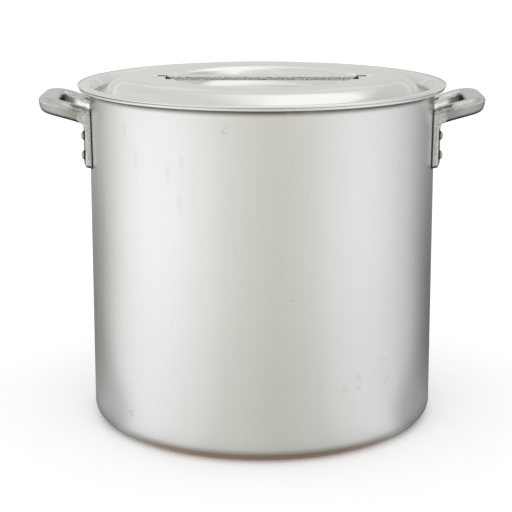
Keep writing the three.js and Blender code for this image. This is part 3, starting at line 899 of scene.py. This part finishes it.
LID_COLOR = (0.85, 0.85, 0.838)
LID_ROUGHNESS = 0.1
LID_GRAIN = 0.012
LID_CLOUD = 0.05
LID_RELIEF = 0.000004
LID_GRAIN_TO_ROUGHNESS = 1.2
WIPE_STRETCH = (14, 40, 14)
WIPE_EDGE = (0.52, 0.7)
WIPED_SHADE = 0.03
WIPED_ROUGHNESS = 0.05
GROOVE_SHADE = 0.18
GROOVE_SHADE_HEIGHTS = (0.344, 0.3585)
GROOVE_SHADE_RADII = (0.14, 0.15)
DISH_PAINTED_SHADE = 0.05
DISH_PAINTED_SHADE_RADII = (0.085, 0.094)
BUTTON_HIGHLIGHT = 0.3
BUTTON_RIM = (0.8, 1.0)
SLOT_SHADE_COLOR = (0.3, 0.29, 0.27)
SLOT_SHADE_DARK = (0.02, 0.02, 0.02)
SLOT_COVER = 0.62
SLOT_ROUGHNESS = 0.6
SLOT_RELIEF = 0.0002


def cut_zone(bm, side, point, normal):
    """Cuts the sheet along a plane, only near one end of the strap."""
    zone = [
        face
        for face in bm.faces
        if SEAT_START - ZONE_MARGIN < side * face.calc_center_median().x < ZONE_END
        and abs(face.calc_center_median().y) < SEAT_HALF_WIDTH + SEAT_FADE + ZONE_MARGIN
    ]
    edges = {edge for face in zone for edge in face.edges}
    verts = {vert for face in zone for vert in face.verts}
    around = zone + list(edges) + list(verts)
    bmesh.ops.bisect_plane(bm, geom=around, dist=CUT_DISTANCE, plane_co=point, plane_no=normal)


def strap_seat(bm, side):
    """Sinks the seat, cuts the slot and raises the button at one end of the strap."""
    wide = SEAT_HALF_WIDTH + SEAT_FADE
    for edge in (-SLOT_HALF_WIDTH, SLOT_HALF_WIDTH):
        cut_zone(bm, side, (0, edge, 0), (0, 1, 0))
    for edge in (SEAT_END, SLOT_START, SLOT_END):
        cut_zone(bm, side, (side * edge, 0, 0), (1, 0, 0))
    for step in range(int((ZONE_END - SEAT_START) / ZONE_STEP)):
        cut_zone(bm, side, (side * (SEAT_START + step * ZONE_STEP), 0, 0), (1, 0, 0))
    for step in range(int(2 * wide / ZONE_STEP)):
        cut_zone(bm, side, (0, step * ZONE_STEP - wide, 0), (0, 1, 0))
    slot = []
    for face in bm.faces:
        middle = face.calc_center_median()
        if SLOT_START < side * middle.x < SLOT_END and abs(middle.y) < SLOT_HALF_WIDTH:
            slot.append(face)
    bmesh.ops.delete(bm, geom=slot, context="FACES")
    for vert in bm.verts:
        out, off = side * vert.co.x, abs(vert.co.y)
        if SEAT_START < out < SLOT_START and vert.co.z > SEAT_FLOOR:
            within = 1 - eased(off, SEAT_HALF_WIDTH, wide)
            inboard = 1 - eased(out, SEAT_END, SEAT_END + SEAT_STEP)
            vert.co.z += (SEAT_FLOOR - vert.co.z) * (within * inboard)
        from_button = hypot((out - BUTTON_MIDDLE) / BUTTON_HALF_LENGTH, vert.co.y / BUTTON_HALF_WIDTH)
        if from_button < 1:
            vert.co.z += BUTTON_HEIGHT * (1 - from_button * from_button) ** 0.5


lid_mesh = bmesh.new()
crown_corner = LID_WALL - (CROWN_HEIGHT - LID_GROOVE_HEIGHT) / tan(LID_CONE_SLOPE)
dish_floor = DISH_RADIUS - DISH_DEPTH / tan(DISH_SLOPE)
bent_line(
    lid_mesh,
    [
        (0, DISH_LIP_HEIGHT - DISH_DEPTH, 0),
        (dish_floor, DISH_LIP_HEIGHT - DISH_DEPTH, DISH_FLOOR_BEND),
        (DISH_RADIUS, DISH_LIP_HEIGHT, DISH_LIP_BEND),
        (CREASE_RADIUS, CREASE_HEIGHT, CREASE_BEND),
        (crown_corner, CROWN_HEIGHT, CROWN_BEND),
        (LID_WALL, LID_GROOVE_HEIGHT, GROOVE_BEND),
        (LID_WALL, LID_FLARE_HEIGHT, LID_FLARE_BEND),
        (LID_WALL + LID_FLARE, LID_FLANGE_HEIGHT, LID_FLANGE_BEND),
        (LID_RADIUS, LID_FLANGE_HEIGHT + LID_EDGE_LIFT, 0),
    ],
)
turn_about_axis(lid_mesh, TURN_STEPS)
if sum(face.normal.z for face in lid_mesh.faces) < 0:
    bmesh.ops.reverse_faces(lid_mesh, faces=lid_mesh.faces[:])
strap_seat(lid_mesh, 1)
strap_seat(lid_mesh, -1)

# Turned sheet: the grain follows the distance from the axis, so the streaks run round.
pressed_aluminium, tree = new_material("pressed_aluminium")
where = object_place(tree)
spread = place(tree, "ShaderNodeSeparateXYZ", {"Vector": where}).outputs
flat = place(tree, "ShaderNodeCombineXYZ", {"X": spread["X"], "Y": spread["Y"]}).outputs[0]
radius = place(tree, "ShaderNodeVectorMath", {0: flat}, operation="LENGTH").outputs["Value"]
turned = place(tree, "ShaderNodeCombineXYZ", {"X": radius, "Y": spread["Z"]}).outputs[0]
skin = rolled_skin(tree, turned, where, LID_GRAIN, LID_CLOUD)
wipes = noise(tree, stretched(tree, where, WIPE_STRETCH), 1.0, 4.0, 0.6)
wiped = between(tree, wipes, *WIPE_EDGE)
roughness = reckon(tree, "MULTIPLY", skin["Roughness"], LID_GRAIN_TO_ROUGHNESS)
roughness = reckon(tree, "ADD", roughness, LID_ROUGHNESS)
roughness = reckon(tree, "ADD", roughness, reckon(tree, "MULTIPLY", wiped, WIPED_ROUGHNESS))
shade = reckon(tree, "SUBTRACT", skin["Shade"], reckon(tree, "MULTIPLY", wiped, WIPED_SHADE))
# Painted shade in the locating groove.
groove_shade = between(tree, spread["Z"], *GROOVE_SHADE_HEIGHTS, GROOVE_SHADE, 0.0)
groove_shade = reckon(tree, "MULTIPLY", groove_shade, between(tree, radius, *GROOVE_SHADE_RADII))
shade = reckon(tree, "SUBTRACT", shade, groove_shade)
# Painted shade inside the finger dish.
shade = reckon(tree, "SUBTRACT", shade, between(tree, radius, *DISH_PAINTED_SHADE_RADII, DISH_PAINTED_SHADE, 0.0))
# Painted highlight on the raised buttons.
along = reckon(tree, "SUBTRACT", reckon(tree, "ABSOLUTE", spread["X"]), 0.001 * BUTTON_MIDDLE)
on_button = place(
    tree,
    "ShaderNodeCombineXYZ",
    {
        "X": reckon(tree, "DIVIDE", along, 0.001 * BUTTON_HALF_LENGTH),
        "Y": reckon(tree, "DIVIDE", spread["Y"], 0.001 * BUTTON_HALF_WIDTH),
    },
).outputs[0]
from_button = place(tree, "ShaderNodeVectorMath", {0: on_button}, operation="LENGTH").outputs["Value"]
shade = reckon(tree, "ADD", shade, between(tree, from_button, *BUTTON_RIM, BUTTON_HIGHLIGHT, 0.0))
metal(tree, shaded(tree, LID_COLOR, shade), roughness, skin["Height"], LID_RELIEF)

# Painted shade: the cut sides of the slots and the ends of the seats are painted dark.
slot_shade_edge, tree = new_material("slot_shade_edge")
where = object_place(tree)
blotch = blotches(tree, where, MOTTLE_SCALE, SLOT_COVER)
slot_shade_tone = mixed(tree, blotch["Mask"], SLOT_SHADE_COLOR, SLOT_SHADE_DARK)
metal(tree, slot_shade_tone, SLOT_ROUGHNESS, blotch["Height"], SLOT_RELIEF)

lid = make_object("pressed_lid", lid_mesh, pressed_aluminium, slot_shade_edge)
sheet = lid.modifiers.new("sheet", "SOLIDIFY")
sheet.thickness = LID_SHEET * 0.001
sheet.offset = -1
thick = modified_mesh(lid)
# The cut sides of the slots and the steps at the seat ends take the painted slot shade.
for face in thick.faces:
    middle = face.calc_center_median() * 1000
    in_slot = SLOT_START - 1 < abs(middle.x) < SLOT_END + 1 and abs(middle.y) < SLOT_HALF_WIDTH + 1
    at_end = SEAT_END - 0.2 < abs(middle.x) < SLOT_START + 0.1 and abs(middle.y) < SEAT_HALF_WIDTH
    if (in_slot and abs(face.normal.z) < 0.3) or (at_end and face.normal.z < 0.85):
        face.material_index = 1
thick.to_mesh(lid.data)
thick.free()
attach(lid, "lid")
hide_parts("lid")


# Lid strap
# A flat bar sheared from thick sheet, with rounded ends, let in across the finger dish.
# A thin tongue at each end runs through the step of the seat and slopes down under the crown.
STRAP_HALF_WIDTH = 10
STRAP_BOTTOM = 361.0
STRAP_TOP = 364.8
STRAP_CORNER = 6
STRAP_EDGE = 0.25
STRAP_CORNER_STEPS = 8
STRAP_EDGE_STEPS = 3
TONGUE_HALF_WIDTH = 6
TONGUE_END = 118
TONGUE_DIP = 4
TONGUE_THICKNESS = 0.7
STRAP_COLOR = (0.80, 0.80, 0.78)
SHEARED_COLOR = (0.86, 0.84, 0.80)
SHEARED_DARK = (0.34, 0.315, 0.28)
STRAP_ROUGHNESS = 0.32
STRAP_STREAKS = (0.03, 1, 1)
STRAP_GRAIN = 0.09
STRAP_CLOUD = 0.12
STRAP_RELIEF = 0.00003
SHEARED_RELIEF = 0.0005
SHEARED_STRETCH = (1, 1, 0.6)
SHEARED_SCALE = 900.0
SHEARED_COVER = 0.44
SHEARED_ROUGHNESS = 0.25
SHEARED_UNEVEN = 0.4

strap_mesh = bmesh.new()
bmesh.ops.create_grid(strap_mesh, x_segments=1, y_segments=1, size=1)
bmesh.ops.scale(strap_mesh, vec=(STRAP_END, STRAP_HALF_WIDTH, 1), verts=strap_mesh.verts[:])
bmesh.ops.translate(strap_mesh, vec=(0, 0, STRAP_BOTTOM), verts=strap_mesh.verts[:])
rounded(strap_mesh, strap_mesh.verts[:], "VERTICES", STRAP_CORNER, STRAP_CORNER_STEPS)
grown = bmesh.ops.extrude_face_region(strap_mesh, geom=strap_mesh.faces[:])["geom"]
bmesh.ops.translate(
    strap_mesh,
    vec=(0, 0, STRAP_TOP - STRAP_BOTTOM),
    verts=[item for item in grown if isinstance(item, bmesh.types.BMVert)],
)
bmesh.ops.recalc_face_normals(strap_mesh, faces=strap_mesh.faces[:])
for face in strap_mesh.faces:
    face.material_index = 1 if abs(face.normal.z) < 0.5 else 0
level_edges = [edge for edge in strap_mesh.edges if abs(edge.verts[0].co.z - edge.verts[1].co.z) < NEAR]
rounded(strap_mesh, level_edges, "EDGES", STRAP_EDGE, STRAP_EDGE_STEPS)
for side in (-1, 1):
    tongue = bmesh.ops.create_cube(strap_mesh, size=1)["verts"]
    for vert in tongue:
        root = vert.co.x * side < 0
        vert.co.x = side * (STRAP_END - STRAP_EDGE if root else TONGUE_END)
        vert.co.y *= 2 * TONGUE_HALF_WIDTH
        level = STRAP_BOTTOM + STRAP_EDGE + TONGUE_THICKNESS * (vert.co.z + 0.5)
        vert.co.z = level if root else level - TONGUE_DIP

strap_aluminium, tree = new_material("strap_aluminium")
where = object_place(tree)
skin = rolled_skin(tree, stretched(tree, where, STRAP_STREAKS), where, STRAP_GRAIN, STRAP_CLOUD)
roughness = reckon(tree, "MULTIPLY", skin["Roughness"], GRAIN_TO_ROUGHNESS)
roughness = reckon(tree, "ADD", roughness, STRAP_ROUGHNESS)
metal(tree, shaded(tree, STRAP_COLOR, skin["Shade"]), roughness, skin["Height"], STRAP_RELIEF)

sheared_edge, tree = new_material("sheared_edge")
where = object_place(tree)
blotch = blotches(tree, stretched(tree, where, SHEARED_STRETCH), SHEARED_SCALE, SHEARED_COVER)
burr = reckon(tree, "MULTIPLY", blotch["Height"], SHEARED_UNEVEN)
burr = reckon(tree, "ADD", burr, SHEARED_ROUGHNESS)
torn_color = mixed(tree, blotch["Mask"], SHEARED_COLOR, SHEARED_DARK)
metal(tree, torn_color, burr, blotch["Height"], SHEARED_RELIEF)

strap = make_object("sheared_lid_strap", strap_mesh, strap_aluminium, sheared_edge)
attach(strap, "lid")
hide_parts("lid_strap")


# Studio
# A plain white floor and sky. The metal also sees a light tent round the pot: dark by the foot,
# with soft bright panels left and right of the camera for the wall, and a bright top for the lid
# above a seam that shows as a line on the crown. The tones are coarse and listed.
TENT_RADIUS = 450
TENT_HEIGHT = 900
TENT_FOOT = 175
TENT_FOLD = 330
TENT_FOLD_HEIGHT = 12
TENT_SKIRT_HEIGHT = 120
TENT_STEPS = 96
TENT_LIFT = 0.5
FOOT_SHADE = 0.5
LOW_SHADE = 0.88
LOW_SIDE_SHADE = 0.46
WALL_PANELS = (
    (-180, 0.88, 0.97),
    (-160, 0.82, 0.95),
    (-142, 0.38, 0.92),
    (-124, 0.35, 0.92),
    (-110, 0.52, 0.93),
    (-95, 0.72, 0.96),
    (-80, 1.00, 1),
    (-62, 1.10, 1),
    (-46, 1.05, 1),
    (-30, 0.93, 0.98),
    (-14, 0.77, 0.94),
    (8, 0.67, 0.90),
    (24, 0.73, 0.95),
    (38, 0.87, 0.99),
    (52, 0.94, 1),
    (68, 0.88, 1.02),
    (86, 0.70, 1.02),
    (104, 0.44, 0.98),
    (122, 0.22, 0.95),
    (142, 0.24, 0.95),
    (160, 0.72, 0.95),
    (180, 0.88, 0.97),
)
LID_PANELS = (
    (-180, 0.70, 0.97),
    (-140, 0.72, 0.97),
    (-115, 0.77, 0.97),
    (-85, 0.78, 0.98),
    (-45, 0.86, 0.98),
    (0, 0.80, 0.98),
    (45, 0.88, 0.98),
    (85, 0.72, 0.98),
    (105, 0.64, 0.97),
    (145, 0.67, 0.97),
    (180, 0.70, 0.97),
)
ROOF_COLOR = (1, 1, 0.98)
ROOF_LEFT = 0.75
ROOF_RIGHT = 1.12
ROOF_CHANGE = (-0.25, 0.12)
ROOF_TOP = 0.95
ROOF_MIDDLE_START = 0.44
ROOF_SIDE_START = 0.70
ROOF_START_CHANGE = (0.15, 0.38)
ROOF_FRONT_END = (0.27, 0.37)
WALL_TO_LID = (0.33, 0.37)
FOOT_RING = (0.19, 0.215)
SIDE_RADII = (0.2, 0.4)
SIDE_BEARINGS = (radians(46), radians(90))
SIDE_SPREAD = radians(24)
LOW_REACH = 0.16
LOW_SIDE_REACH = 0.3
SEAM_EDGE = (0.452, 0.457)
SEAM_DARK_START = (0.43, 0.45)
SEAM_DARK = 0.1
SEAM_BRIGHT_END = (0.468, 0.495)
SEAM_BRIGHT = 0.16
FLOOR_HALF_SIZE = 12000
FLOOR_COLOR = (0.97, 0.97, 0.97, 1)
FLOOR_LIFT = 0.13

floor_mesh = bmesh.new()
bmesh.ops.create_grid(floor_mesh, x_segments=1, y_segments=1, size=FLOOR_HALF_SIZE)
white_floor, tree = new_material("white_floor")
matt = place(tree, "ShaderNodeBsdfDiffuse", {"Color": FLOOR_COLOR})
ray = place(tree, "ShaderNodeLightPath").outputs
mirrored = reckon(tree, "MAXIMUM", ray["Is Glossy Ray"], ray["Is Transmission Ray"])
seen = reckon(tree, "MAXIMUM", ray["Is Camera Ray"], mirrored)
strength = reckon(tree, "MULTIPLY", seen, FLOOR_LIFT)
lift = place(tree, "ShaderNodeEmission", {"Color": (1, 1, 1, 1), "Strength": strength})
both = place(tree, "ShaderNodeAddShader", {0: matt.outputs["BSDF"], 1: lift.outputs["Emission"]})
place(tree, "ShaderNodeOutputMaterial", {"Surface": both.outputs["Shader"]})
floor = make_object("floor", floor_mesh, white_floor)


def cloth_panels(tree, share, panels):
    """The tent's tone and warmth by bearing from the camera's side."""
    made = place(tree, "ShaderNodeValToRGB", {"Fac": share})
    ramp = made.color_ramp
    ramp.interpolation = "EASE"
    for bearing, tone, blue in panels[1:-1]:
        ramp.elements.new((bearing + 180) / 360).color = (tone, tone, tone * blue, 1)
    for stop, (_, tone, blue) in ((ramp.elements[0], panels[0]), (ramp.elements[-1], panels[-1])):
        stop.color = (tone, tone, tone * blue, 1)
    return made.outputs["Color"]


tent_mesh = bmesh.new()
bent_line(
    tent_mesh,
    [
        (TENT_FOOT, TENT_LIFT, 0),
        (TENT_FOLD, TENT_FOLD_HEIGHT, 0),
        (TENT_RADIUS, TENT_SKIRT_HEIGHT, 0),
        (TENT_RADIUS, TENT_HEIGHT, 0),
        (0, TENT_HEIGHT, 0),
    ],
)
turn_about_axis(tent_mesh, TENT_STEPS)
tent_cloth, tree = new_material("tent_cloth")
from_front = stretched(tree, object_place(tree), (1, -1, 1))
parts = place(tree, "ShaderNodeSeparateXYZ", {"Vector": from_front}).outputs
bearing = reckon(tree, "ARCTAN2", parts["X"], parts["Y"])
share = reckon(tree, "ADD", reckon(tree, "DIVIDE", bearing, 2 * pi), 0.5)
beside_wall = cloth_panels(tree, share, WALL_PANELS)
above_lid = cloth_panels(tree, share, LID_PANELS)
flat = place(tree, "ShaderNodeCombineXYZ", {"X": parts["X"], "Y": parts["Y"]}).outputs[0]
from_axis = place(tree, "ShaderNodeVectorMath", {0: flat}, operation="LENGTH").outputs["Value"]
side_start = between(tree, from_axis, *SIDE_RADII, *SIDE_BEARINGS)
past_front = reckon(tree, "SUBTRACT", reckon(tree, "ABSOLUTE", bearing), side_start)
beside = between(tree, past_front, 0.0, SIDE_SPREAD)
low_end = between(tree, beside, 0.0, 1.0, LOW_SHADE, LOW_SIDE_SHADE)
low_reach = between(tree, beside, 0.0, 1.0, LOW_REACH, LOW_SIDE_REACH)
low = reckon(
    tree,
    "MULTIPLY",
    between(tree, parts["Z"], 0.0, low_reach, low_end, 1.0),
    between(tree, from_axis, *FOOT_RING, FOOT_SHADE, 1.0),
)
roof_tone = between(tree, parts["X"], *ROOF_CHANGE, ROOF_LEFT, ROOF_RIGHT)
roof = shaded(tree, ROOF_COLOR, roof_tone)
off_middle = reckon(tree, "ABSOLUTE", parts["X"])
start = between(tree, off_middle, *ROOF_START_CHANGE, ROOF_MIDDLE_START, ROOF_SIDE_START)
upper = reckon(
    tree,
    "MULTIPLY",
    between(tree, parts["Z"], start, ROOF_TOP),
    between(tree, parts["Y"], *ROOF_FRONT_END, 1.0, 0.0),
)
above_lid = mixed(tree, upper, above_lid, roof)
seam_bright = reckon(
    tree,
    "MULTIPLY",
    between(tree, parts["Z"], *SEAM_EDGE),
    between(tree, parts["Z"], *SEAM_BRIGHT_END, SEAM_BRIGHT, 0.0),
)
seam_dark = reckon(
    tree,
    "MULTIPLY",
    between(tree, parts["Z"], *SEAM_DARK_START),
    between(tree, parts["Z"], *SEAM_EDGE, SEAM_DARK, 0.0),
)
seam = reckon(tree, "ADD", reckon(tree, "SUBTRACT", seam_bright, seam_dark), 1.0)
above_lid = shaded(tree, above_lid, seam)
at_lid = between(tree, parts["Z"], *WALL_TO_LID)
tone = mixed(tree, at_lid, shaded(tree, beside_wall, low), above_lid)
glow = place(tree, "ShaderNodeEmission", {"Color": tone, "Strength": 1.0})
place(tree, "ShaderNodeOutputMaterial", {"Surface": glow.outputs["Emission"]})
tent_cloth.cycles.emission_sampling = "NONE"
tent = make_object("light_tent", tent_mesh, tent_cloth)
tent.visible_camera = False
tent.visible_diffuse = False
tent.visible_shadow = False

world = bpy.data.worlds.new("studio")
bpy.context.scene.world = world
world.cycles_visibility.glossy = False
world.use_nodes = True
world.node_tree.nodes.clear()
sky = place(world.node_tree, "ShaderNodeBackground", {"Color": (1, 1, 1, 1), "Strength": 1.0})
place(world.node_tree, "ShaderNodeOutputWorld", {"Surface": sky.outputs["Background"]})

CAMERA_DISTANCE = 1.57857
CAMERA_HEIGHT = 0.55355
CAMERA_PITCH = 0.1953
CAMERA_SENSOR = 36
CAMERA_LENS = 104.83
CAMERA_SHIFT = (-0.0117, -0.1297)
CAMERA_END = 100
lens = bpy.data.cameras.new("photo_camera")
lens.sensor_width = CAMERA_SENSOR
lens.lens = CAMERA_LENS
lens.shift_x, lens.shift_y = CAMERA_SHIFT
lens.clip_end = CAMERA_END
camera = bpy.data.objects.new("photo_camera", lens)
camera.location = (0, -CAMERA_DISTANCE, CAMERA_HEIGHT)
camera.rotation_euler = (pi / 2 - CAMERA_PITCH, 0, 0)
bpy.context.scene.collection.objects.link(camera)
bpy.context.scene.camera = camera
bpy.context.scene.view_settings.view_transform = "Standard"
